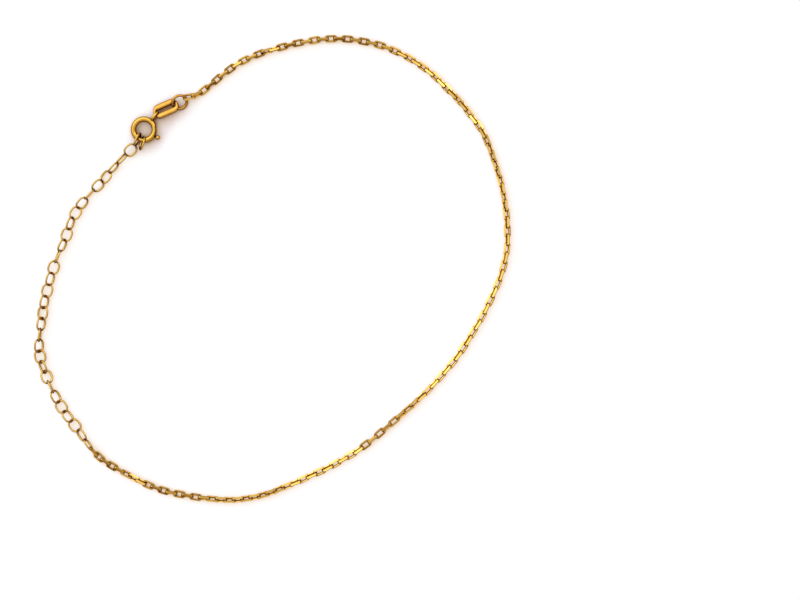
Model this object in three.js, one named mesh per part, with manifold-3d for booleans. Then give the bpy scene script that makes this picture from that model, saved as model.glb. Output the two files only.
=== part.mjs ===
// A fine gold chain bracelet with an extender chain, closed with a spring ring clasp and lying in a
// loop on a flat surface. Millimetres, +Z up, the surface is z = 0 and the origin is in the middle.
import * as THREE from 'three';
import { mergeVertices } from 'three/addons/utils/BufferGeometryUtils.js';
import Module from 'manifold-3d';

const manifold = await Module();
manifold.setup();

// ---- driving sizes ----

const ROUNDS = 10; // sides of a round wire
const FULL_TURN = 2 * Math.PI;

const CHAIN = { width: 1.2, sides: 8, steps: 96 };
const EXTENDER = { width: 2.1, sides: 8, steps: 36 };

// Routes along the surface, [x, y], from the clasp's side of each chain towards their junction.
const CHAIN_ROUTE = [
  [-14.3, 33.5], [-12.6, 34.6], [-9.3, 37.4], [-5.6, 39.9], [-1.5, 41.6], [2.8, 42.8], [7.7, 43.8],
  [12.4, 44.2], [17.4, 43.7], [22.2, 42.4], [26.6, 40.2], [30.8, 37.3], [34.4, 33.8], [37.7, 30.0],
  [40.5, 26.0], [42.4, 21.3], [43.8, 16.7], [44.7, 11.9], [45.1, 7.2], [44.8, 2.5], [43.5, -2.1],
  [41.6, -6.4], [39.6, -10.3], [37.3, -14.0], [35.0, -17.4], [32.4, -20.5], [29.7, -23.4],
  [26.9, -26.1], [23.9, -28.7], [21.0, -31.2], [17.9, -33.7], [14.5, -36.0], [10.9, -38.0],
  [7.0, -39.8], [2.8, -41.6], [-1.6, -43.3], [-6.3, -44.2], [-11.2, -44.1], [-16.1, -43.5],
  [-20.9, -42.4], [-25.7, -40.5], [-30.3, -38.0], [-32.5, -36.6], [-34.1, -35.1],
];
const EXTENDER_ROUTE = [
  [-26.7, 23.2], [-29.9, 19.9], [-32.4, 16.9], [-35.4, 13.8], [-38.0, 10.3], [-39.4, 6.4],
  [-41.2, 2.2], [-42.6, -2.2], [-43.8, -7.0], [-44.4, -12.0], [-44.7, -14.7], [-44.4, -17.2],
  [-42.7, -21.9], [-40.4, -26.5], [-37.2, -30.7], [-35.8, -32.8], [-34.4, -34.75],
];

// A ring of wire: its outer length and width, and its wire's thickness in the ring's plane and across.
const CHAIN_LINK = { length: 2.27, width: 1.34, wire: 0.37, endWire: 0.26, depth: 0.44, around: 26 };
const EXTENDER_LINK = { length: 2.84, width: 2.32, wire: 0.31, depth: 0.31, around: 26 };
const JUMP_RING = { length: 3.3, width: 3.3, wire: 0.46, depth: 0.46, around: 34 };
const OVAL_LINK = { length: 5.05, width: 2.95, wire: 0.93, endWire: 0.5, depth: 0.8, around: 38 };
const CLASP_EYE = { length: 2.35, width: 2.1, wire: 0.42, depth: 0.5, around: 26 };

// How each ring of wire lies: its middle, the heading of its length, how far its heading end is
// raised, and its roll about its length, in degrees.
const CHAIN_END_LINK_POSE = { at: [-15.96, 32.833, 1.047], heading: 15.9, pitch: -0.6, roll: -45.3 };
const JUMP_RING_POSE = { at: [-17.67, 31.94, 1.036], heading: 73, pitch: 24, roll: 23.9 };
const OVAL_LINK_POSE = { at: [-20.31, 30.683, 1.048], heading: 23.3, pitch: 1.1, roll: -18.4 };
const HOOKED_LINK_POSE = { at: [-25.724, 24.801, 1.169], heading: 246, pitch: 0, roll: 99.8 };
const LAST_LINK_POSE = { at: [-24.858, 24.068, 1.15], heading: 254.4, pitch: -0.3, roll: 77.3 };

// The spring ring clasp, a bent tube with a gap that the trigger's bolt closes. Angles in degrees.
// The bores for the bolt overrun the gap, so that they cut cleanly through the tube's ends.
const CLASP = {
  at: [-24.52, 26.68, 0.94],
  diameter: 5.1,
  tube: 1.06,
  sides: 14,
  stepAngle: 9,
  eyeHeading: 51,
  tilt: 2.5,
  eyeReach: 4.45,
  gapFrom: 235,
  gapTo: 276,
  channel: 0.74,
  channelTo: 382,
  socketFrom: 228,
  overrun: 2,
  slotWidth: 0.4,
  slotMargin: 5,
  slotSteps: 8,
};
const TRIGGER = {
  bolt: 0.62,
  boltFrom: 231,
  boltTo: 336,
  knobHeading: 330,
  travel: 43,
  stem: 0.3,
  knob: 0.9,
  knobReach: 3.05,
};
const CLASP_RADIUS = (CLASP.diameter - CLASP.tube) / 2;

const polishedGold = { color: 0xe6b23c, roughness: 0.2, metalness: 1 };
const chainGold = { color: 0xd9a132, roughness: 0.28, metalness: 1 };
const paleGold = { color: 0xdcb04a, roughness: 0.3, metalness: 1 };

// ---- shapes ----

const radians = THREE.MathUtils.degToRad;

class ArcCurve extends THREE.Curve {
  constructor(radius, fromDegrees, toDegrees) {
    super();
    this.radius = radius;
    this.from = radians(fromDegrees);
    this.to = radians(toDegrees);
  }

  getPoint(t, target = new THREE.Vector3()) {
    const angle = this.from + t * (this.to - this.from);
    return target.set(this.radius * Math.cos(angle), this.radius * Math.sin(angle), 0);
  }
}

// A regular outline with flats towards +X and -X, which a flat route turns to face up and down.
function flatSidedOutline(acrossFlats, sides) {
  const radius = acrossFlats / 2 / Math.cos(Math.PI / sides);
  const corners = [];
  for (let i = 0; i < sides; i += 1) {
    const angle = ((i + 0.5) * FULL_TURN) / sides;
    corners.push(new THREE.Vector2(radius * Math.cos(angle), radius * Math.sin(angle)));
  }
  return new THREE.Shape(corners);
}

function sweep(outline, path, steps) {
  return new THREE.ExtrudeGeometry(outline, { steps, extrudePath: path, bevelEnabled: false });
}

function bentRod(thickness, sides, fromDegrees, toDegrees) {
  const steps = Math.max(1, Math.round((toDegrees - fromDegrees) / CLASP.stepAngle));
  const arc = new ArcCurve(CLASP_RADIUS, fromDegrees, toDegrees);
  return sweep(flatSidedOutline(thickness, sides), arc, steps);
}

// A closed ring of wire with straight sides along X, flat in XY: a torus whose two halves are
// moved apart, with its wire thinned towards its ends and stretched or flattened along Z.
function wireRing({ length, width, wire, endWire = wire, depth, around }) {
  const bend = (width - wire) / 2;
  const moved = (length - endWire) / 2 - bend;
  const ring = new THREE.TorusGeometry(bend, wire / 2, ROUNDS, around);
  const places = ring.getAttribute('position');
  for (let i = 0; i < places.count; i += 1) {
    const x = places.getX(i);
    const y = places.getY(i);
    const reach = Math.hypot(x, y);
    const towardsEnd = (x / reach) ** 2;
    const share = 1 - towardsEnd * (1 - endWire / wire);
    const scale = (bend + (reach - bend) * share) / reach;
    const z = (places.getZ(i) * depth) / wire;
    places.setXYZ(i, x * scale + Math.sign(x) * moved, y * scale, z);
  }
  return ring;
}

function solidOf(geometry) {
  const bare = geometry.clone();
  bare.deleteAttribute('normal');
  bare.deleteAttribute('uv');
  const merged = mergeVertices(bare);
  const solid = new manifold.Mesh({
    numProp: 3,
    vertProperties: new Float32Array(merged.getAttribute('position').array),
    triVerts: new Uint32Array(merged.getIndex().array),
  });
  return new manifold.Manifold(solid);
}

function geometryOf(solid) {
  const { vertProperties, triVerts } = solid.getMesh();
  const geometry = new THREE.BufferGeometry();
  geometry.setAttribute('position', new THREE.BufferAttribute(vertProperties, 3));
  geometry.setIndex(new THREE.BufferAttribute(triVerts, 1));
  geometry.computeVertexNormals();
  return geometry;
}

// ---- pieces ----

function piece(name, geometry, finish) {
  const mesh = new THREE.Mesh(geometry, new THREE.MeshStandardMaterial(finish));
  mesh.name = name;
  return mesh;
}

function chainTube(name, route, { width, sides, steps }, finish) {
  const points = route.map(([x, y]) => new THREE.Vector3(x, y, width / 2));
  const path = new THREE.CatmullRomCurve3(points);
  return piece(name, sweep(flatSidedOutline(width, sides), path, steps), finish);
}

function placedRing(name, size, { at, heading, pitch, roll }, finish) {
  const ring = piece(name, wireRing(size), finish);
  ring.position.set(...at);
  ring.rotation.set(radians(roll), radians(-pitch), radians(heading), 'ZYX');
  return ring;
}

// The clasp's eye stands across the ring, soldered on its outside.
function claspEye() {
  const eye = wireRing(CLASP_EYE);
  eye.rotateX(Math.PI / 2);
  eye.translate(CLASP.eyeReach - CLASP_EYE.length / 2, 0, 0);
  eye.rotateZ(radians(CLASP.eyeHeading));
  return eye;
}

// The slot in the tube's outer wall: a bent bar as high as the slot is wide. A swept outline's +Y
// points to the inside of the bend, so the bar reaches out from the tube's middle along -Y.
function claspSlot() {
  const half = CLASP.slotWidth / 2;
  const outward = -CLASP.tube;
  const bar = new THREE.Shape();
  bar.moveTo(-half, outward);
  bar.lineTo(half, outward);
  bar.lineTo(half, 0);
  bar.lineTo(-half, 0);
  const from = TRIGGER.knobHeading - CLASP.slotMargin;
  const to = TRIGGER.knobHeading + TRIGGER.travel + CLASP.slotMargin;
  return sweep(bar, new ArcCurve(CLASP_RADIUS, from, to), CLASP.slotSteps);
}

function springRing() {
  const { tube: outer, channel: bore, sides, gapFrom, gapTo, overrun } = CLASP;
  const tube = solidOf(bentRod(outer, sides, gapTo, gapFrom + 360));
  const channel = solidOf(bentRod(bore, sides, gapTo - overrun, CLASP.channelTo));
  const socket = solidOf(bentRod(bore, sides, CLASP.socketFrom, gapFrom + overrun));
  const slot = solidOf(claspSlot());
  const eye = solidOf(claspEye());
  return geometryOf(tube.add(eye).subtract(channel).subtract(socket).subtract(slot));
}

function triggerBody() {
  const bolt = solidOf(bentRod(TRIGGER.bolt, CLASP.sides, TRIGGER.boltFrom, TRIGGER.boltTo));
  const stemLength = TRIGGER.knobReach - CLASP_RADIUS;
  const stem = new THREE.CylinderGeometry(TRIGGER.stem / 2, TRIGGER.stem / 2, stemLength, ROUNDS);
  stem.rotateZ(-Math.PI / 2);
  stem.translate(CLASP_RADIUS + stemLength / 2, 0, 0);
  stem.rotateZ(radians(TRIGGER.knobHeading));
  const knob = new THREE.SphereGeometry(TRIGGER.knob / 2, CLASP.sides, ROUNDS);
  knob.rotateX(Math.PI / 2);
  knob.translate(TRIGGER.knobReach, 0, 0);
  knob.rotateZ(radians(TRIGGER.knobHeading));
  return geometryOf(bolt.add(solidOf(stem)).add(solidOf(knob)));
}

function clasp() {
  const group = new THREE.Group();
  group.position.set(...CLASP.at);
  const heading = radians(CLASP.eyeHeading);
  const across = new THREE.Vector3(Math.sin(heading), -Math.cos(heading), 0);
  group.quaternion.setFromAxisAngle(across, radians(CLASP.tilt));
  group.add(piece('spring_ring', springRing(), polishedGold));
  group.add(piece('trigger', triggerBody(), polishedGold));
  return group;
}

const bracelet = new THREE.Group();
bracelet.add(
  chainTube('chain', CHAIN_ROUTE, CHAIN, chainGold),
  chainTube('extender_chain', EXTENDER_ROUTE, EXTENDER, paleGold),
  placedRing('chain_end_link', CHAIN_LINK, CHAIN_END_LINK_POSE, chainGold),
  placedRing('jump_ring', JUMP_RING, JUMP_RING_POSE, polishedGold),
  placedRing('oval_link', OVAL_LINK, OVAL_LINK_POSE, polishedGold),
  placedRing('hooked_link', EXTENDER_LINK, HOOKED_LINK_POSE, paleGold),
  placedRing('last_link', EXTENDER_LINK, LAST_LINK_POSE, paleGold),
  clasp(),
);

export default bracelet;
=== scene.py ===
import math
import random

import bmesh
import bpy
from bpy.props import FloatProperty, FloatVectorProperty, PointerProperty
from bpy.types import Operator, Panel, PropertyGroup
from mathutils import Matrix, Vector


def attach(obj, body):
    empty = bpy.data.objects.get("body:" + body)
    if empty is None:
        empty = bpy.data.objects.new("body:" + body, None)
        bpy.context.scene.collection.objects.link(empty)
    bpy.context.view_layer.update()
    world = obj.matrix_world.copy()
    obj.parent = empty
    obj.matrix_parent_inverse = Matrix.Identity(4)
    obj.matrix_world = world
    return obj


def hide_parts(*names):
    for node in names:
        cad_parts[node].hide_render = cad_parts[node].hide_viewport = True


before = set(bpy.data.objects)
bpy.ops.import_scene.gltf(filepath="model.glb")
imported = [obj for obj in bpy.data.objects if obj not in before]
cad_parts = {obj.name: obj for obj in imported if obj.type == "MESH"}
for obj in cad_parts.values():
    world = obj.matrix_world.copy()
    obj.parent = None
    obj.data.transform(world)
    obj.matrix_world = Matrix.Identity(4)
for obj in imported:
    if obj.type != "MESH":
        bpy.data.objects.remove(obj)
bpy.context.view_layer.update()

bl_info = {
    "name": "Gold Chain Bracelet",
    "version": (1, 0, 0),
    "blender": (4, 5, 0),
    "location": "3D View > Sidebar > Bracelet",
    "description": "Makes a fine gold cable chain bracelet with an extender chain and a spring ring clasp",
    "category": "Add Mesh",
}

MM = 0.001
FULL_TURN = 2 * math.pi

# ---- how the bracelet lies, in millimetres and degrees, as in the part's source ----

# Routes of the two chains along the surface, from the clasp's side of each to their junction.
CHAIN_ROUTE = [
    (-15.96, 32.83), (-14.3, 33.5), (-12.6, 34.6), (-9.3, 37.4), (-5.6, 39.9), (-1.5, 41.6),
    (2.8, 42.8), (7.7, 43.8), (12.4, 44.2), (17.4, 43.7), (22.2, 42.4), (26.6, 40.2), (30.8, 37.3),
    (34.4, 33.8), (37.7, 30.0), (40.5, 26.0), (42.4, 21.3), (43.8, 16.7), (44.7, 11.9), (45.1, 7.2),
    (44.8, 2.5), (43.5, -2.1), (41.6, -6.4), (39.6, -10.3), (37.3, -14.0), (35.0, -17.4),
    (32.4, -20.5), (29.7, -23.4), (26.9, -26.1), (23.9, -28.7), (21.0, -31.2), (17.9, -33.7),
    (14.5, -36.0), (10.9, -38.0), (7.0, -39.8), (2.8, -41.6), (-1.6, -43.3), (-6.3, -44.2),
    (-11.2, -44.1), (-16.1, -43.5), (-20.9, -42.4), (-25.7, -40.5), (-30.3, -38.0), (-32.5, -36.6),
    (-34.1, -35.1),
]
EXTENDER_ROUTE = [
    (-26.7, 23.2), (-29.9, 19.9), (-32.4, 16.9), (-35.4, 13.8), (-38.0, 10.3), (-39.4, 6.4),
    (-41.2, 2.2), (-42.6, -2.2), (-43.8, -7.0), (-44.4, -12.0), (-44.7, -14.7), (-44.4, -17.2),
    (-42.7, -21.9), (-40.4, -26.5), (-37.2, -30.7), (-35.8, -32.8), (-34.4, -34.75),
]

# How the main chain lies: at each named link, its middle's distance along the route, and the chain's
# twist. Even links are rolled by the twist and odd ones by a quarter turn more. A positive roll
# raises a link's outer side.
CHAIN_LAY = [
    {"link": 0, "along": 0.0, "twist": -37},
    {"link": 2, "along": 3.3, "twist": 0},
    {"link": 6, "along": 9.7, "twist": 5},
    {"link": 7, "along": 11.3, "twist": 20},
    {"link": 8, "along": 12.9, "twist": 5},
    {"link": 10, "along": 16.0, "twist": 0},
    {"link": 13, "along": 20.6, "twist": -90},
    {"link": 23, "along": 36.5, "twist": -85},
    {"link": 28, "along": 44.3, "twist": -62},
    {"link": 31, "along": 49.0, "twist": -60},
    {"link": 39, "along": 61.3, "twist": -58},
    {"link": 54, "along": 85.6, "twist": -28},
    {"link": 60, "along": 96.0, "twist": -23},
    {"link": 73, "along": 118.8, "twist": -23},
    {"link": 76, "along": 124.1, "twist": -43},
    {"link": 78, "along": 127.6, "twist": -53},
    {"link": 80, "along": 131.2, "twist": -80},
    {"link": 83, "along": 136.5, "twist": -92},
    {"link": 84, "along": 138.2, "twist": -110},
    {"link": 91, "along": 150.1, "twist": -115},
    {"link": 94, "along": 155.2, "twist": -133},
    {"link": 101, "along": 166.6, "twist": -135},
    {"link": 105, "along": 173.1, "twist": -172},
    {"link": 110, "along": 180.8, "twist": -180},
    {"link": 115, "along": 188.7, "twist": -270},
    {"link": 118, "along": 193.2, "twist": -270},
]

# How the extender chain lies: each link's roll from the junction to the clasp, and how far along the
# joined routes the middles of some links are.
EXTENDER_ROLLS = [
    80, -47, 0, 51, -5, 50, -82, 20, -50, 0, 50, -87, 54, -20, 54,
    -8, 57, 0, -75, 65, -8, 65, -8, 45, -82, 40, -28, 75, -62, 20,
]
EXTENDER_LAY = [
    {"link": 0, "along": 194.8}, {"link": 2, "along": 199.4}, {"link": 6, "along": 208.2},
    {"link": 8, "along": 212.2}, {"link": 11, "along": 218.5}, {"link": 14, "along": 224.8},
    {"link": 18, "along": 234.0}, {"link": 22, "along": 243.0}, {"link": 25, "along": 249.8},
    {"link": 29, "along": 258.9},
]

# How far from its middle each kind of link holds its neighbours, and how loosely.
CHAIN_HOLD = {"reach": 0.8, "slack": 0.07}
EXTENDER_HOLD = {"reach": 1.1, "slack": 0.3}

# How much each link may lie out of line: its roll in degrees, and its joint's way aside.
ROLL_PLAY = 6
SIDE_PLAY = 0.05

# Where the extender's last joint hangs in the hooked link.
EXTENDER_END = (-26.2, 23.7, 0.95)

# Rings of wire that have a place of their own: middle, heading of the length, how far the heading
# end is raised, and roll about the length.
END_LINK_POSE = {"at": (-15.9, 32.97, 0.98), "heading": 11, "pitch": -0.6, "roll": -27}
JUMP_RING_POSE = {"at": (-17.67, 31.94, 1.036), "heading": 73, "pitch": 24, "roll": 23.9}
OVAL_LINK_POSE = {"at": (-20.31, 30.683, 1.048), "heading": 23.3, "pitch": 1.1, "roll": -18.4}
HOOKED_LINK_POSE = {"at": (-25.724, 24.801, 1.169), "heading": 246, "pitch": 0, "roll": 99.8}
LAST_LINK_POSE = {"at": (-24.858, 24.068, 1.15), "heading": 254.4, "pitch": -0.3, "roll": 69}

# The clasp's middle, the heading of its eye, how far the eye's side is raised, the headings round
# its ring at which its features start and end, and how far up the slot leans from the ring's plane.
CLASP_POSE = {"at": (-24.52, 26.68, 0.94), "eye_heading": 51, "tilt": 2.5}
CLASP_MOUTH = 276
CLASP_TUBE_END = 595
CLASP_CHANNEL_END = 382
CLASP_SOCKET_START = 588
CLASP_SLOT = (323, 381)
CLASP_SLOT_LEAN = 12
BOLT_SPAN = (231, 336)
KNOB_HEADING = 330


# ---- the light on the stage ----

# The surface's painted shade, from where the room is in full view to where it is hidden: beside the clasp,
# beside the chains, and as a reflection in the gold.
SHADE_BY_CLASP = [
    (0.05, (1.0, 1.0, 1.0)), (0.1, (0.96, 0.93, 0.92)), (0.145, (0.9, 0.83, 0.82)), (0.19, (0.83, 0.73, 0.7)),
    (0.25, (0.76, 0.66, 0.63)), (0.325, (0.66, 0.54, 0.47)), (0.44, (0.54, 0.4, 0.29)),
]
DEEPEST_BY_CLASP = 0.6
SHADE_BY_CHAINS = [
    (0.1, (1.0, 1.0, 1.0)), (0.18, (0.98, 0.95, 0.94)), (0.26, (0.95, 0.88, 0.82)), (0.36, (0.9, 0.78, 0.66)),
    (0.5, (0.8, 0.63, 0.46)), (0.7, (0.5, 0.33, 0.17)),
]
OPEN_AS_SEEN_BY_GOLD = 0.03
SHADE_SEEN_BY_GOLD = [(0.2, (0.27, 0.13, 0.03)), (0.45, (0.07, 0.02, 0.002))]

# The middle of the clasp's own shade from the clasp's middle, and where it has turned into the chains'.
CLASP_SHADE_SHIFT = (2.5, 2.0, 0)
CLASP_SHADE_REACH = (5.5, 9.5)

# Soft lights: where each is, the cosines at which it starts and is full, and its strength.
LIGHTS = [
    {"name": "ceiling", "heading": 0, "from_above": 0, "start": 0.05, "full": 0.9, "strength": 0.69},
    {"name": "wall", "heading": 95, "from_above": 78, "start": 0.25, "full": 0.7, "strength": 0.42},
    {"name": "window", "heading": 140, "from_above": 52, "start": 0.5, "full": 0.85, "strength": 0.6},
    {"name": "lamp", "heading": 140, "from_above": 46, "start": 0.94, "full": 0.98, "strength": 0.7},
    {"name": "small lamp", "heading": 38, "from_above": 39, "start": 0.965, "full": 0.99, "strength": 2.0},
]
WINDOW_SLANT = {"heading": 150, "from_above": 55}
WHITE_LIGHT = (1.0, 0.99, 0.96)
WARM_LIGHT = (1.0, 0.6, 0.22)
WARM_STRENGTH = 0.3

CAMERA_AT = (24.52, -5.95, 426.6)
CAMERA_LENS = 100


# ---- sizes and colours ----

def length(name, description, millimetres):
    return FloatProperty(name=name, description=description, default=millimetres * MM,
                         unit="LENGTH", precision=6)


def colour(name, description, default):
    return FloatVectorProperty(name=name, description=description, default=default,
                               subtype="COLOR", min=0, max=1)


class BraceletChainLink(PropertyGroup):
    """One link of the main chain."""
    length: length("Length", "Outer length of a link", 2.42)
    width: length("Width", "Outer width of a link before it is cut", 1.46)
    side_wire: length("Side wire", "Thickness of the wire along the sides", 0.44)
    end_wire: length("End wire", "Thickness of the wire round the ends", 0.33)
    depth: length("Depth", "Thickness of the wire across the link's plane", 0.57)
    cut: length("Cut", "How deep the diamond-cut faces go into the sides", 0.085)


class BraceletExtenderLink(PropertyGroup):
    """One link of the extender chain."""
    length: length("Length", "Outer length of a link", 2.84)
    width: length("Width", "Outer width of a link", 2.32)
    wire: length("Wire", "Thickness of the wire", 0.37)
    weld: length("Weld", "How far the weld stands proud of the wire", 0.022)


class BraceletFittings(PropertyGroup):
    """The jump ring and the oval link."""
    jump_ring: length("Jump ring", "Outer diameter of the jump ring", 3.3)
    jump_wire: length("Jump ring wire", "Thickness of the jump ring's wire", 0.53)
    oval_length: length("Oval length", "Outer length of the oval link", 5.05)
    oval_width: length("Oval width", "Outer width of the oval link", 2.95)
    oval_side: length("Oval side", "Thickness of the oval link's sides", 1.12)
    oval_end: length("Oval end", "Thickness of the oval link's ends", 0.5)
    oval_depth: length("Oval depth", "Thickness across the oval link's plane", 0.8)


class BraceletClasp(PropertyGroup):
    """The spring ring clasp and its trigger."""
    diameter: length("Diameter", "Outer diameter of the ring", 5.1)
    tube: length("Tube", "Thickness of the ring's tube", 1.06)
    channel: length("Channel", "Bore of the tube in which the bolt slides", 0.74)
    slot: length("Slot", "Height of the slot for the trigger's stem", 0.82)
    eye_length: length("Eye length", "Outer length of the eye", 2.35)
    eye_width: length("Eye width", "Outer width of the eye", 2.1)
    eye_wire: length("Eye wire", "Thickness of the eye's wire, from its inside to its outside", 0.42)
    eye_depth: length("Eye depth", "Thickness of the eye's wire across the eye", 0.5)
    eye_reach: length("Eye reach", "From the ring's middle to the eye's far side", 4.45)
    bolt: length("Bolt", "Thickness of the bolt", 0.68)
    stem: length("Stem", "Thickness of the trigger's stem", 0.42)
    knob: length("Knob", "Diameter of the trigger's knob", 0.9)
    knob_reach: length("Knob reach", "From the ring's middle to the knob's middle", 3.05)


class BraceletColours(PropertyGroup):
    """Colours of the gold and of the stage."""
    chain: colour("Chain", "Drawn wire of the main chain", (1.0, 0.67, 0.18))
    cut_face: colour("Cut faces", "Diamond-cut faces of the main chain", (0.76, 0.56, 0.16))
    # The extender's, the fittings' and the clasp's colours are gold's own colour darkened below the chain's:
    # partly painted shade.
    extender: colour("Extender", "Drawn wire of the extender chain", (0.63, 0.462, 0.138))
    fittings: colour("Fittings", "Jump ring and oval link", (0.54, 0.31, 0.07))
    clasp: colour("Clasp", "Spring ring and trigger", (0.64, 0.415, 0.08))
    # Colours of painted shade: gold darkened in its creases and, on the chains, where links cross.
    chain_painted_shade: colour("Chain tarnish", "Gold where the links rub and touch", (0.22, 0.068, 0.002))
    painted_shade: colour("Tarnish", "Gold in the creases of the fittings and the clasp", (0.1, 0.024, 0.001))
    # The glow that the gold reflects from the surface, and the deepest painted shade on the surface.
    floor: colour("Floor", "The surface under the bracelet, as the gold sees it", (0.7, 0.56, 0.4))
    shade: colour("Shade", "The deepest shade on the surface", (0.13, 0.055, 0.015))


# ---- routes ----

def smooth_route(points, steps=16):
    """Points of a smooth curve through the given ones, as flat vectors in metres."""
    knots = [Vector(p) * MM for p in points]
    knots = [2 * knots[0] - knots[1], *knots, 2 * knots[-1] - knots[-2]]
    curve = []
    for a, b, c, d in zip(knots, knots[1:], knots[2:], knots[3:]):
        for k in range(steps):
            t = k / steps
            curve.append(b + 0.5 * t * (c - a + t * (2 * a - 5 * b + 4 * c - d + t * (3 * (b - c) + d - a))))
    curve.append(knots[-2])
    return curve


class Route:
    """The line that the chains follow, found by the distance along it."""

    def __init__(self, points):
        self.points = smooth_route(points)
        self.reached = [0.0]
        for a, b in zip(self.points, self.points[1:]):
            self.reached.append(self.reached[-1] + (b - a).length)

    def at(self, along, aside=0.0):
        """The point at a distance along the route, moved aside to its outer side."""
        k = 1
        while k < len(self.points) - 1 and self.reached[k] < along:
            k += 1
        a, b = self.points[k - 1], self.points[k]
        share = (along - self.reached[k - 1]) / (self.reached[k] - self.reached[k - 1])
        step = (b - a).normalized()
        return a + share * (b - a) + aside * Vector((-step.y, step.x))


def between(rows, link, value):
    """A column's value at one link, on straight lines between the rows of a lay table."""
    for low, high in zip(rows, rows[1:]):
        if link <= high["link"]:
            share = (link - low["link"]) / (high["link"] - low["link"])
            return low[value] + share * (high[value] - low[value])
    return rows[-1][value]


def placed(at, heading, pitch, roll):
    """The matrix of a ring of wire with its length along X, from a middle in metres and angles in radians."""
    turn = Matrix.Rotation(heading, 4, "Z") @ Matrix.Rotation(-pitch, 4, "Y") @ Matrix.Rotation(roll, 4, "X")
    return Matrix.Translation(at) @ turn


def own_place(pose):
    return placed(Vector(pose["at"]) * MM, *(math.radians(pose[k]) for k in ("heading", "pitch", "roll")))


# ---- wire rings ----

def swept_ring(bm, outline, around):
    """Skins a closed row of sections: outline(t) gives a section's points for t from 0 to 1."""
    sections = [[bm.verts.new(p) for p in outline(k / around)] for k in range(around)]
    for here, there in zip(sections, sections[1:] + sections[:1]):
        for i, vertex in enumerate(here):
            j = (i + 1) % len(here)
            bm.faces.new((vertex, there[i], there[j], here[j])).smooth = True


def superellipse(angle, squareness):
    """A point of a superellipse: a circle at 2, squarer above."""
    power = 2 / squareness
    x, y = math.cos(angle), math.sin(angle)
    return math.copysign(abs(x) ** power, x), math.copysign(abs(y) ** power, y)


def ring_of_wire(length, width, side_wire, end_wire, depth, sides, around, squareness=2.0, flatness=2.0, weld=0.0):
    """A closed ring of wire with its length along X, flat in XY, bent round its ends as a superellipse.
    Its wire is round at a flatness of 2 and has flatter faces above."""
    bend_y = (width - side_wire) / 2
    bend_x = min((length - end_wire) / 2, bend_y)
    straight = (length - end_wire) / 2 - bend_x

    def middle_line(angle):
        x, y = superellipse(angle, squareness)
        return Vector((x * bend_x + math.copysign(straight, x), y * bend_y, 0))

    def section(t):
        angle = FULL_TURN * (t + 0.5 / around)
        here = middle_line(angle)
        ahead = middle_line(angle + 0.01) - middle_line(angle - 0.01)
        outward = Vector((ahead.y, -ahead.x, 0)).normalized()
        endness = abs(outward.x) ** 1.5
        in_plane = (side_wire + endness * (end_wire - side_wire)) / 2
        swell = weld * math.exp(-((here.x / (0.6 * side_wire)) ** 2)) if here.y > 0 else 0.0
        points = []
        for i in range(sides):
            out, up = superellipse(FULL_TURN * i / sides, flatness)
            points.append(here + outward * out * (in_plane + swell) + Vector((0, 0, up * (depth / 2 + swell))))
        return points

    bm = bmesh.new()
    swept_ring(bm, section, around)
    bmesh.ops.recalc_face_normals(bm, faces=bm.faces)
    return bm


def cut_faces(bm, distance, material_index):
    """Cuts flat polished faces on the four long edges of a link, at half right angles to its plane."""
    for across, up in ((1, 1), (1, -1), (-1, -1), (-1, 1)):
        normal = Vector((0, across, up)).normalized()
        made = bmesh.ops.bisect_plane(bm, geom=bm.verts[:] + bm.edges[:] + bm.faces[:], dist=1e-8,
                                      plane_co=normal * distance, plane_no=normal, clear_outer=True)
        rim = [e for e in made["geom_cut"] if isinstance(e, bmesh.types.BMEdge)]
        filled = bmesh.ops.edgeloop_fill(bm, edges=rim)["faces"]
        for face in filled:
            face.material_index = material_index
            face.smooth = False
            for edge in face.edges:
                edge.smooth = False


def mesh_from(bm, name):
    mesh = bpy.data.meshes.new(name)
    bm.to_mesh(mesh)
    bm.free()
    return mesh


def chain_link_mesh(sizes):
    bm = ring_of_wire(sizes.length, sizes.width, sizes.side_wire, sizes.end_wire, sizes.depth,
                      sides=14, around=28, squareness=2.35)
    rail = (sizes.width - sizes.side_wire) / 2
    distance = rail * math.sqrt(0.5) + sizes.side_wire / 2 - sizes.cut
    cut_faces(bm, distance, material_index=1)
    return mesh_from(bm, "chain_link")


def extender_link_mesh(sizes):
    bm = ring_of_wire(sizes.length, sizes.width, sizes.wire, sizes.wire, sizes.wire,
                      sides=12, around=44, weld=sizes.weld)
    return mesh_from(bm, "extender_link")


# ---- how the links lie ----

def resting_height(mesh, roll):
    """How high a rolled link's middle is when it rests on the surface."""
    return max(-(v.co.y * math.sin(roll) + v.co.z * math.cos(roll)) for v in mesh.vertices)


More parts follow.
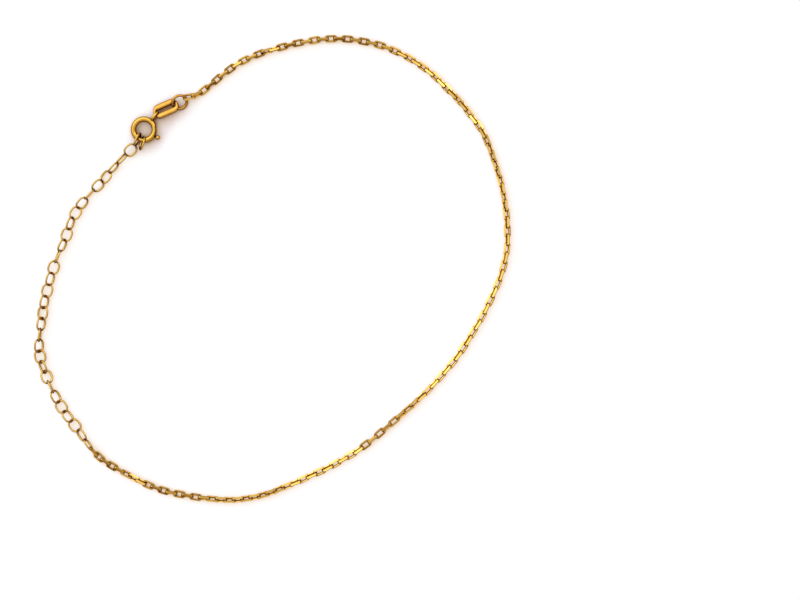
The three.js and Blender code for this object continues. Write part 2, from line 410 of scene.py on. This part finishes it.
class Lie:
    """The places of all the links of both chains, which hang together from the end link to the clasp."""

    def __init__(self, chain_mesh, extender_mesh):
        draw = random.Random(11)
        self.route = Route(CHAIN_ROUTE + EXTENDER_ROUTE[::-1])
        count = CHAIN_LAY[-1]["link"] + 1
        links = []
        for n in range(count):
            twist = between(CHAIN_LAY, n, "twist")
            roll = math.radians(twist + 90 * (n % 2) + draw.uniform(-ROLL_PLAY, ROLL_PLAY))
            along = between(CHAIN_LAY, n, "along") * MM
            links.append({"along": along, "roll": roll, "mesh": chain_mesh, **CHAIN_HOLD})
        for n, roll in enumerate(EXTENDER_ROLLS):
            along = between(EXTENDER_LAY, n, "along") * MM
            links.append({"along": along, "roll": math.radians(roll), "mesh": extender_mesh, **EXTENDER_HOLD})
        for link in links:
            link["rest"] = resting_height(link["mesh"], link["roll"])
        joints = [self.joint(a, b, draw) for a, b in zip(links, links[1:])]
        joints.append(Vector(EXTENDER_END) * MM)
        places = [own_place(END_LINK_POSE)]
        for link, start, end in zip(links[1:], joints, joints[1:]):
            middle = (start + end) / 2
            middle.z = max(middle.z, link["rest"])
            span = end - start
            pitch = math.atan2(span.z, math.hypot(span.x, span.y))
            places.append(placed(middle, math.atan2(span.y, span.x), pitch, link["roll"]))
        self.chain = places[:count]
        self.extender = places[count:]

    def joint(self, a, b, draw):
        """Where two links meet: between their middles, at a height that both can reach."""
        share = a["reach"] / (a["reach"] + b["reach"])
        along = a["along"] + share * (b["along"] - a["along"])
        spot = self.route.at(along, draw.uniform(-SIDE_PLAY, SIDE_PLAY) * MM)
        slack = max(a["slack"], b["slack"]) * MM
        height = max(a["rest"], b["rest"]) - slack
        return Vector((spot.x, spot.y, height))


# ---- materials ----

class Nodes:
    """A short way to add and link shader nodes."""

    def __init__(self, tree):
        self.tree = tree
        tree.nodes.clear()

    def add(self, kind, inputs=None, **settings):
        node = self.tree.nodes.new(kind)
        for key, value in settings.items():
            setattr(node, key, value)
        for key, value in (inputs or {}).items():
            self.give(node.inputs[key], value)
        return node

    def give(self, socket, value):
        if isinstance(value, bpy.types.NodeSocket):
            self.tree.links.new(value, socket)
        else:
            socket.default_value = value

    def maths(self, operation, a, b):
        return self.add("ShaderNodeMath", {0: a, 1: b}, operation=operation).outputs[0]

    def mix(self, share, a, b):
        node = self.add("ShaderNodeMix", data_type="RGBA")
        self.give(node.inputs["Factor"], share)
        self.give(node.inputs["A"], a)
        self.give(node.inputs["B"], b)
        return node.outputs["Result"]

    def noise(self, where, size, detail=3.0):
        """Noise from 0 to 1 whose blotches are about the given size in metres."""
        node = self.add("ShaderNodeTexNoise", {"Vector": where, "Scale": 1 / size, "Detail": detail})
        return node.outputs[0]

    def closed(self, distance, normal=None):
        """How much of the room a point doesn't see for things nearer than a distance, from 0 to 1."""
        inputs = {"Distance": distance} if normal is None else {"Distance": distance, "Normal": normal}
        open_sky = self.add("ShaderNodeAmbientOcclusion", inputs, samples=12).outputs["AO"]
        return self.maths("SUBTRACT", 1.0, open_sky)

    def stepped(self, value, steps):
        """A colour that passes through given colours as a value grows."""
        node = self.add("ShaderNodeValToRGB", {"Fac": value})
        stops = node.color_ramp.elements
        stops.remove(stops[1])
        stops[0].position, stops[0].color = steps[0][0], rgba(steps[0][1])
        for position, tint in steps[1:]:
            stops.new(position).color = rgba(tint)
        return node.outputs["Color"]

    def ramp(self, value, low, high, to_low=0.0, to_high=1.0):
        node = self.add("ShaderNodeMapRange", {"Value": value, "From Min": low, "From Max": high,
                                               "To Min": to_low, "To Max": to_high})
        return node.outputs["Result"]


def rgba(colour_value):
    return (*colour_value, 1.0)


def gold(name, base, painted_shade, roughness, scratches, creased=(0.22, 0.56)):
    """Polished gold: clouded colour, handling marks in its gloss, fine scratches, and painted shade in its
    creases, from where they start to where they are full, and on spots that its mesh marks."""
    material = bpy.data.materials.new(name)
    material.use_nodes = True
    n = Nodes(material.node_tree)
    place = n.add("ShaderNodeTexCoord").outputs["Object"]
    clouds = n.noise(place, 1.6 * MM)
    mottle = n.noise(place, 0.25 * MM, detail=5.0)
    tone = n.add("ShaderNodeAttribute", attribute_name="tone").outputs["Fac"]
    warm = rgba([base[0] * 0.94, base[1] * 0.84, base[2] * 0.6])
    body = n.mix(n.ramp(clouds, 0.3, 0.7, 0.0, 0.8), rgba(base), warm)
    body = n.mix(n.maths("MULTIPLY", tone, 0.35), body, warm)
    # Painted shade: the gold darkens where things close by hide the room from it.
    crease = n.closed(1.2 * MM)
    # Painted shade round the spots where neighbouring links cross, in patches.
    crossing_shade = n.add("ShaderNodeAttribute", attribute_name="crossing_shade").outputs["Fac"]
    patchy = n.maths("MULTIPLY", crossing_shade, n.ramp(mottle, 0.3, 0.6, 0.7, 1.0))
    dark = n.maths("MAXIMUM", n.ramp(crease, *creased, 0.0, 0.95), patchy)
    long_marks = n.add("ShaderNodeMapping", {"Vector": place, "Scale": (1.0, 0.25, 1.0),
                                             "Rotation": (0.4, 0.2, 0.9)}).outputs["Vector"]
    marks = n.noise(long_marks, 0.05 * MM, detail=4.0)
    gloss = n.maths("ADD", n.ramp(mottle, 0.35, 0.75, roughness, roughness + 0.09),
                    n.ramp(crease, 0.2, 0.7, 0.0, 0.12))
    bump = n.add("ShaderNodeBump", {"Strength": scratches, "Distance": 0.01 * MM, "Height": marks})
    shader = n.add("ShaderNodeBsdfPrincipled", {"Base Color": n.mix(dark, body, rgba(painted_shade)),
                                                "Roughness": gloss, "Metallic": 1.0,
                                                "Normal": bump.outputs["Normal"]})
    n.add("ShaderNodeOutputMaterial", {"Surface": shader.outputs["BSDF"]})
    return material


def floor_material(seen_colour, deepest_shade):
    """A board that glows so brightly it is white, with warm soft painted shade away from the window."""
    material = bpy.data.materials.new("bright_board")
    material.use_nodes = True
    n = Nodes(material.node_tree)
    place = n.add("ShaderNodeTexCoord").outputs["Object"]
    slant = n.add("ShaderNodeCombineXYZ", dict(zip("XYZ", way_to(**WINDOW_SLANT)))).outputs["Vector"]
    closed_to_window = n.closed(4 * MM, slant)
    closed_to_room = n.closed(4 * MM)
    closed = n.maths("MULTIPLY", n.maths("ADD", closed_to_window, closed_to_room), 0.5)
    middle = (Vector(CLASP_POSE["at"]) + Vector(CLASP_SHADE_SHIFT)) * MM
    away = n.add("ShaderNodeVectorMath", {0: place, 1: middle}, operation="DISTANCE").outputs["Value"]
    by_clasp = n.stepped(closed, [*SHADE_BY_CLASP, (DEEPEST_BY_CLASP, deepest_shade)])
    by_chains = n.stepped(closed, SHADE_BY_CHAINS)
    from_clasp = n.ramp(away, *(reach * MM for reach in CLASP_SHADE_REACH))
    shaded = n.mix(from_clasp, by_clasp, by_chains)
    seen_by_gold = n.stepped(closed, [(OPEN_AS_SEEN_BY_GOLD, seen_colour), *SHADE_SEEN_BY_GOLD])
    grain = n.ramp(n.noise(place, 0.4 * MM), 0.3, 0.7, 1.02, 1.03)
    # The camera sees the white glow with its painted shade; the gold reflects the dimmer glow with its painted
    # shade.
    camera_ray = n.add("ShaderNodeLightPath").outputs["Is Camera Ray"]
    light = n.add("ShaderNodeEmission", {"Color": n.mix(camera_ray, seen_by_gold, shaded), "Strength": grain})
    n.add("ShaderNodeOutputMaterial", {"Surface": light.outputs["Emission"]})
    return material


# ---- making pieces ----

def finish_piece(mesh, name, materials, body, nodes):
    """Makes a piece of a mesh, and says what it rides on and which nodes it stands for."""
    piece = bpy.data.objects.new(name, mesh)
    bpy.context.scene.collection.objects.link(piece)
    for material in materials:
        mesh.materials.append(material)
    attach(piece, body)
    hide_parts(*nodes)
    return piece


def joined_links(template, places, name, seed, near, far):
    """Copies of one link at many places in one mesh. Each has a tone of its own, and painted shade round the
    two spots where its neighbours hang in it, full up to the near distance and gone at the far one."""
    draw = random.Random(seed)
    bm = bmesh.new()
    tone = bm.verts.layers.float.new("tone")
    # How much painted shade each vertex gets, near where the neighbours hang.
    crossing_shade = bm.verts.layers.float.new("crossing_shade")
    inside_end = 0.15 * MM
    spot = Vector((max(v.co.x for v in template.vertices) - inside_end, 0, 0))
    reach = [min((v.co - spot).length, (v.co + spot).length) for v in template.vertices]
    amounts = [min(1.0, max(0.0, (far - distance) / (far - near))) for distance in reach]
    done = 0
    for place in places:
        copy = template.copy()
        copy.transform(place)
        lowest = min(v.co.z for v in copy.vertices)
        if lowest < 0:
            copy.transform(Matrix.Translation((0, 0, -lowest)))
        bm.from_mesh(copy)
        bpy.data.meshes.remove(copy)
        bm.verts.ensure_lookup_table()
        shade = draw.random()
        for vertex, amount in zip(bm.verts[done:], amounts):
            vertex[tone] = shade
            vertex[crossing_shade] = amount
        done = len(bm.verts)
    return mesh_from(bm, name)


class BRACELET_OT_chains(Operator):
    """Lays the links of the main chain and of the extender chain along their routes"""
    bl_idname = "bracelet.chains"
    bl_label = "Chains"

    def execute(self, context):
        scene = context.scene
        colours = scene.bracelet_colours
        chain_link = chain_link_mesh(scene.bracelet_chain_link)
        extender_link = extender_link_mesh(scene.bracelet_extender_link)
        lie = Lie(chain_link, extender_link)
        wire = gold("chain_wire_gold", colours.chain, colours.chain_painted_shade, 0.16, 0.25, (0.27, 0.58))
        faces = gold("cut_face_gold", colours.cut_face, colours.chain_painted_shade, 0.07, 0.06)
        mesh = joined_links(chain_link, lie.chain, "chain_links", 3, near=0.44 * MM, far=0.62 * MM)
        finish_piece(mesh, "chain_links", [wire, faces], "bracelet", ["chain", "chain_end_link"])
        drawn = gold("extender_wire_gold", colours.extender, colours.chain_painted_shade, 0.18, 0.25)
        places = [*lie.extender, own_place(HOOKED_LINK_POSE), own_place(LAST_LINK_POSE)]
        mesh = joined_links(extender_link, places, "extender_links", 5, near=0.48 * MM, far=0.68 * MM)
        finish_piece(mesh, "extender_links", [drawn], "bracelet",
                     ["extender_chain", "hooked_link", "last_link"])
        return {"FINISHED"}


class BRACELET_OT_fittings(Operator):
    """Makes the jump ring and the oval link between the main chain and the clasp"""
    bl_idname = "bracelet.fittings"
    bl_label = "Jump ring and oval link"

    def execute(self, context):
        sizes = context.scene.bracelet_fittings
        colours = context.scene.bracelet_colours
        finish = gold("fittings_gold", colours.fittings, colours.painted_shade, 0.1, 0.3, (0.16, 0.44))
        ring = mesh_from(ring_of_wire(sizes.jump_ring, sizes.jump_ring, sizes.jump_wire, sizes.jump_wire,
                                      sizes.jump_wire, sides=20, around=96, weld=0.02 * MM), "jump_ring")
        ring.transform(own_place(JUMP_RING_POSE))
        finish_piece(ring, "jump_ring_smooth", [finish], "bracelet", ["jump_ring"])
        oval = mesh_from(ring_of_wire(sizes.oval_length, sizes.oval_width, sizes.oval_side, sizes.oval_end,
                                      sizes.oval_depth, sides=32, around=96, flatness=2.7), "oval_link")
        oval.transform(own_place(OVAL_LINK_POSE))
        finish_piece(oval, "oval_link_smooth", [finish], "bracelet", ["oval_link"])
        return {"FINISHED"}


# ---- the clasp ----

def bend_radius(sizes):
    """The radius of the bent middle line of the clasp's tube."""
    return (sizes.diameter - sizes.tube) / 2


def clasp_place():
    heading = math.radians(CLASP_POSE["eye_heading"])
    across = Vector((math.sin(heading), -math.cos(heading), 0))
    tilt = Matrix.Rotation(math.radians(CLASP_POSE["tilt"]), 4, across)
    return Matrix.Translation(Vector(CLASP_POSE["at"]) * MM) @ tilt


def on_bend(bend, heading, out, up):
    """A point beside the bent middle line of the clasp's tube, at a heading in degrees."""
    angle = math.radians(heading)
    return Vector(((bend + out) * math.cos(angle), (bend + out) * math.sin(angle), up))


def spread(start, end, step):
    """Values from start to end in even steps of about the given size."""
    count = max(1, round((end - start) / step))
    return [start + (end - start) * k / count for k in range(count + 1)]


def slotted_tube(sizes):
    """The clasp's tube: open at its mouth, bored for the bolt, with a slot in its outer wall. The slot
    lies between the first and the fifth point of each section."""
    bend = bend_radius(sizes)
    outer, inner = sizes.tube / 2, sizes.channel / 2
    rim = 0.03 * MM
    edge = math.degrees(math.asin(sizes.slot / 2 / outer))
    turns = [-edge, -edge / 2, 0, edge / 2] + spread(edge, 360 - edge, 13)[:-1]
    turns = [turn + CLASP_SLOT_LEAN for turn in turns]
    slot_edges = (0, 4)
    slot_from, slot_to = CLASP_SLOT
    corner = math.degrees(sizes.slot / 2 / (bend + outer))
    middle = (slot_from + slot_to) / 2
    lip = math.degrees(0.035 * MM / bend)
    step = 3
    bm = bmesh.new()

    def stretched(heading, row):
        """Draws the slot's corners in, so that its ends are round."""
        if not slot_from <= heading <= slot_to or row not in (0, 1, 3, 4):
            return heading
        inset = corner * (1 if row in slot_edges else 0.13)
        return middle + (heading - middle) * (1 - 2 * inset / (slot_to - slot_from))

    def ring(heading, radius):
        loop = []
        for row, turn in enumerate(turns):
            angle = math.radians(turn)
            at = stretched(heading, row)
            loop.append(bm.verts.new(on_bend(bend, at, radius * math.cos(angle), radius * math.sin(angle))))
        return loop

    def skin(loops, headings=None):
        """Joins a row of rings, and leaves the slot out where headings are given."""
        for k, (here, there) in enumerate(zip(loops, loops[1:])):
            in_slot = headings and headings[k] >= slot_from - 0.01 and headings[k + 1] <= slot_to + 0.01
            for row in range(slot_edges[1] if in_slot else 0, len(turns)):
                nxt = (row + 1) % len(turns)
                bm.faces.new((here[row], there[row], there[nxt], here[nxt])).smooth = True

    def mouth(heading):
        return [ring(heading, outer - rim), ring(heading, inner + rim)]

    headings = [CLASP_MOUTH + lip, *spread(CLASP_MOUTH + step, slot_from, step),
                *spread(slot_from, slot_to, step)[1:], *spread(slot_to, CLASP_TUBE_END - lip, step)[1:]]
    wall = [ring(h, outer) for h in headings]
    skin(wall, headings)
    bore_headings = [h for h in headings if h <= CLASP_CHANNEL_END]
    bore = [ring(h, inner) for h in bore_headings]
    skin(bore, bore_headings)
    bm.faces.new(bore[-1])
    skin([wall[0], *mouth(CLASP_MOUTH), bore[0]])
    socket = [ring(h, inner) for h in (CLASP_TUBE_END - lip, CLASP_SOCKET_START)]
    skin(socket)
    bm.faces.new(socket[-1])
    skin([wall[-1], *mouth(CLASP_TUBE_END), socket[0]])
    first, last = headings.index(slot_from), headings.index(slot_to)
    for k in range(first, last):
        for row in slot_edges:
            bm.faces.new((wall[k][row], wall[k + 1][row], bore[k + 1][row], bore[k][row]))
    for k in (first, last):
        for row in range(slot_edges[1]):
            bm.faces.new((wall[k][row], wall[k][row + 1], bore[k][row + 1], bore[k][row]))
    loose = [v for v in bm.verts if not v.link_faces]
    bmesh.ops.delete(bm, geom=loose, context="VERTS")
    bmesh.ops.recalc_face_normals(bm, faces=bm.faces)
    return bm


def ball(bm, middle, radii):
    matrix = Matrix.Translation(middle) @ Matrix.Diagonal((*radii, 1))
    made = bmesh.ops.create_uvsphere(bm, u_segments=24, v_segments=16, radius=1, matrix=matrix)
    for vertex in made["verts"]:
        for face in vertex.link_faces:
            face.smooth = True


def fused(mesh, voxel, smoothing):
    """One smooth skin round overlapping shapes, as solder leaves it."""
    thing = bpy.data.objects.new("fused", mesh)
    bpy.context.scene.collection.objects.link(thing)
    remesh = thing.modifiers.new("Skin", "REMESH")
    remesh.mode = "VOXEL"
    remesh.voxel_size = voxel
    remesh.use_smooth_shade = True
    smooth = thing.modifiers.new("Even", "SMOOTH")
    smooth.factor = 0.5
    smooth.iterations = smoothing
    depsgraph = bpy.context.evaluated_depsgraph_get()
    made = bpy.data.meshes.new_from_object(thing.evaluated_get(depsgraph))
    bpy.data.objects.remove(thing)
    return made


def clasp_eye(sizes):
    """The eye, standing across the ring, with the solder that holds it."""
    bm = ring_of_wire(sizes.eye_length, sizes.eye_width, sizes.eye_wire, sizes.eye_wire, sizes.eye_depth,
                      sides=20, around=72)
    bmesh.ops.rotate(bm, verts=bm.verts, matrix=Matrix.Rotation(math.pi / 2, 3, "X"))
    bmesh.ops.translate(bm, verts=bm.verts, vec=(sizes.eye_reach - sizes.eye_length / 2, 0, 0))
    seat = bend_radius(sizes) + sizes.tube / 2
    solder = Vector((0.16, 0.34, 0.42)) * MM
    ball(bm, (seat - 0.02 * MM, 0, 0), solder)
    bmesh.ops.rotate(bm, verts=bm.verts,
                     matrix=Matrix.Rotation(math.radians(CLASP_POSE["eye_heading"]), 3, "Z"))
    return fused(mesh_from(bm, "clasp_eye"), voxel=0.035 * MM, smoothing=4)


def revolved(bm, profile, place, around=28):
    """Skins a row of (distance along X, radius) about the X axis. The first and last radii are zero."""
    ends = [bm.verts.new(place @ Vector((profile[k][0], 0, 0))) for k in (0, -1)]
    loops = []
    for along, radius in profile[1:-1]:
        angles = [FULL_TURN * i / around for i in range(around)]
        loops.append([bm.verts.new(place @ Vector((along, radius * math.cos(a), radius * math.sin(a))))
                      for a in angles])
    for i in range(around):
        j = (i + 1) % around
        for here, there in zip(loops, loops[1:]):
            bm.faces.new((here[i], here[j], there[j], there[i])).smooth = True
        bm.faces.new((ends[0], loops[0][j], loops[0][i])).smooth = True
        bm.faces.new((ends[1], loops[-1][i], loops[-1][j])).smooth = True


def trigger_mesh(sizes):
    """The bolt with its rounded tip, and the stem and knob that pull it back."""
    bend = bend_radius(sizes)
    radius = sizes.bolt / 2
    sides = 24
    bm = bmesh.new()
    start, end = BOLT_SPAN
    tip = math.degrees(0.7 * radius / bend)
    sections = []
    for degrees in (12, 30, 50, 70, 90):
        angle = math.radians(degrees)
        sections.append((start + tip * (1 - math.cos(angle)), radius * math.sin(angle)))
    sections += [(heading, radius) for heading in spread(start + tip, end, 3)[1:]]
    loops = []
    for heading, size in sections:
        angles = [FULL_TURN * i / sides for i in range(sides)]
        loops.append([bm.verts.new(on_bend(bend, heading, size * math.cos(a), size * math.sin(a)))
                      for a in angles])
    for here, there in zip(loops, loops[1:]):
        for i in range(sides):
            j = (i + 1) % sides
            bm.faces.new((here[i], there[i], there[j], here[j])).smooth = True
    bm.faces.new(loops[0])
    bm.faces.new(loops[-1])
    stem, knob = sizes.stem / 2, sizes.knob / 2
    neck = math.asin(stem / knob)
    profile = [(bend, 0), (bend, stem)]
    profile += [(sizes.knob_reach - knob * math.cos(a), knob * math.sin(a)) for a in spread(neck, math.pi, 0.18)]
    revolved(bm, profile, Matrix.Rotation(math.radians(KNOB_HEADING), 4, "Z"))
    bmesh.ops.recalc_face_normals(bm, faces=bm.faces)
    return mesh_from(bm, "trigger")


class BRACELET_OT_clasp(Operator):
    """Makes the spring ring clasp with its eye"""
    bl_idname = "bracelet.clasp"
    bl_label = "Spring ring"

    def execute(self, context):
        sizes = context.scene.bracelet_clasp
        colours = context.scene.bracelet_colours
        bm = slotted_tube(sizes)
        eye = clasp_eye(sizes)
        bm.from_mesh(eye)
        bpy.data.meshes.remove(eye)
        mesh = mesh_from(bm, "spring_ring")
        mesh.transform(clasp_place())
        finish = gold("clasp_gold", colours.clasp, colours.painted_shade, 0.09, 0.15, (0.2, 0.5))
        ring = finish_piece(mesh, "spring_ring_smooth", [finish], "bracelet", ["spring_ring"])
        edges = ring.modifiers.new("Edges", "BEVEL")
        edges.width = 0.025 * MM
        edges.segments = 2
        edges.limit_method = "ANGLE"
        edges.angle_limit = math.radians(50)
        return {"FINISHED"}


class BRACELET_OT_trigger(Operator):
    """Makes the clasp's trigger: the bolt that closes the ring and its knob"""
    bl_idname = "bracelet.trigger"
    bl_label = "Trigger"

    def execute(self, context):
        colours = context.scene.bracelet_colours
        mesh = trigger_mesh(context.scene.bracelet_clasp)
        mesh.transform(clasp_place())
        finish = gold("trigger_gold", colours.clasp, colours.chain_painted_shade, 0.12, 0.15)
        finish_piece(mesh, "trigger_smooth", [finish], "trigger", ["trigger"])
        return {"FINISHED"}


# ---- stage ----

def way_to(heading, from_above):
    """A direction by its heading and its angle from straight up, in degrees."""
    a, e = math.radians(heading), math.radians(from_above)
    return Vector((math.cos(a) * math.sin(e), math.sin(a) * math.sin(e), math.cos(e)))


def surroundings(scene):
    """A pale room with a warm glow all round, and the soft lights added to it."""
    world = bpy.data.worlds.new("pale_room")
    world.use_nodes = True
    n = Nodes(world.node_tree)
    way = n.add("ShaderNodeTexCoord").outputs["Generated"]
    strengths = []
    for light in LIGHTS:
        direction = way_to(light["heading"], light["from_above"])
        cosine = n.add("ShaderNodeVectorMath", {0: way, 1: direction}, operation="DOT_PRODUCT").outputs["Value"]
        grown = n.add("ShaderNodeMapRange", {"Value": cosine, "From Min": light["start"],
                                             "From Max": light["full"], "To Min": 0.0,
                                             "To Max": light["strength"]},
                      label=light["name"], interpolation_type="SMOOTHSTEP")
        strengths.append(grown.outputs["Result"])
    total = strengths[0]
    for strength in strengths[1:]:
        total = n.maths("ADD", total, strength)
    warm = n.add("ShaderNodeBackground", {"Color": rgba(WARM_LIGHT), "Strength": WARM_STRENGTH})
    white = n.add("ShaderNodeBackground", {"Color": rgba(WHITE_LIGHT), "Strength": total})
    both = n.add("ShaderNodeAddShader", {0: warm.outputs["Background"], 1: white.outputs["Background"]})
    n.add("ShaderNodeOutputWorld", {"Surface": both.outputs["Shader"]})
    scene.world = world


class BRACELET_OT_stage(Operator):
    """Makes the pale floor, the soft lights and the camera that looks straight down"""
    bl_idname = "bracelet.stage"
    bl_label = "Stage"

    def execute(self, context):
        scene = context.scene
        colours = scene.bracelet_colours
        bm = bmesh.new()
        bmesh.ops.create_grid(bm, x_segments=2, y_segments=2, size=3)
        floor = bpy.data.objects.new("floor", mesh_from(bm, "floor"))
        floor.data.materials.append(floor_material(colours.floor, colours.shade))
        scene.collection.objects.link(floor)
        surroundings(scene)
        data = bpy.data.cameras.new("camera")
        data.lens = CAMERA_LENS
        data.sensor_width = 36
        data.clip_start = 0.01
        camera = bpy.data.objects.new("camera", data)
        camera.location = Vector(CAMERA_AT) * MM
        scene.collection.objects.link(camera)
        scene.camera = camera
        scene.view_settings.view_transform = "Standard"
        return {"FINISHED"}


# ---- add-on ----

OPERATORS = (BRACELET_OT_stage, BRACELET_OT_chains, BRACELET_OT_fittings, BRACELET_OT_clasp, BRACELET_OT_trigger)
GROUPS = {
    "bracelet_chain_link": BraceletChainLink,
    "bracelet_extender_link": BraceletExtenderLink,
    "bracelet_fittings": BraceletFittings,
    "bracelet_clasp": BraceletClasp,
    "bracelet_colours": BraceletColours,
}


class BRACELET_PT_sidebar(Panel):
    """Sizes, colours and makers of the bracelet's pieces"""
    bl_idname = "BRACELET_PT_sidebar"
    bl_label = "Gold Chain Bracelet"
    bl_space_type = "VIEW_3D"
    bl_region_type = "UI"
    bl_category = "Bracelet"

    def draw(self, context):
        for name, group in GROUPS.items():
            column = self.layout.column(align=True)
            for key in group.__annotations__:
                column.prop(getattr(context.scene, name), key)
        for operator in OPERATORS:
            self.layout.operator(operator.bl_idname)


CLASSES = (*GROUPS.values(), *OPERATORS, BRACELET_PT_sidebar)


def register():
    for cls in CLASSES:
        bpy.utils.register_class(cls)
    for name, group in GROUPS.items():
        setattr(bpy.types.Scene, name, PointerProperty(type=group))


def unregister():
    for name in GROUPS:
        delattr(bpy.types.Scene, name)
    for cls in reversed(CLASSES):
        bpy.utils.unregister_class(cls)


def main():
    register()
    bpy.ops.bracelet.stage()
    bpy.ops.bracelet.chains()
    bpy.ops.bracelet.fittings()
    bpy.ops.bracelet.clasp()
    bpy.ops.bracelet.trigger()


if __name__ == "__main__":
    main()
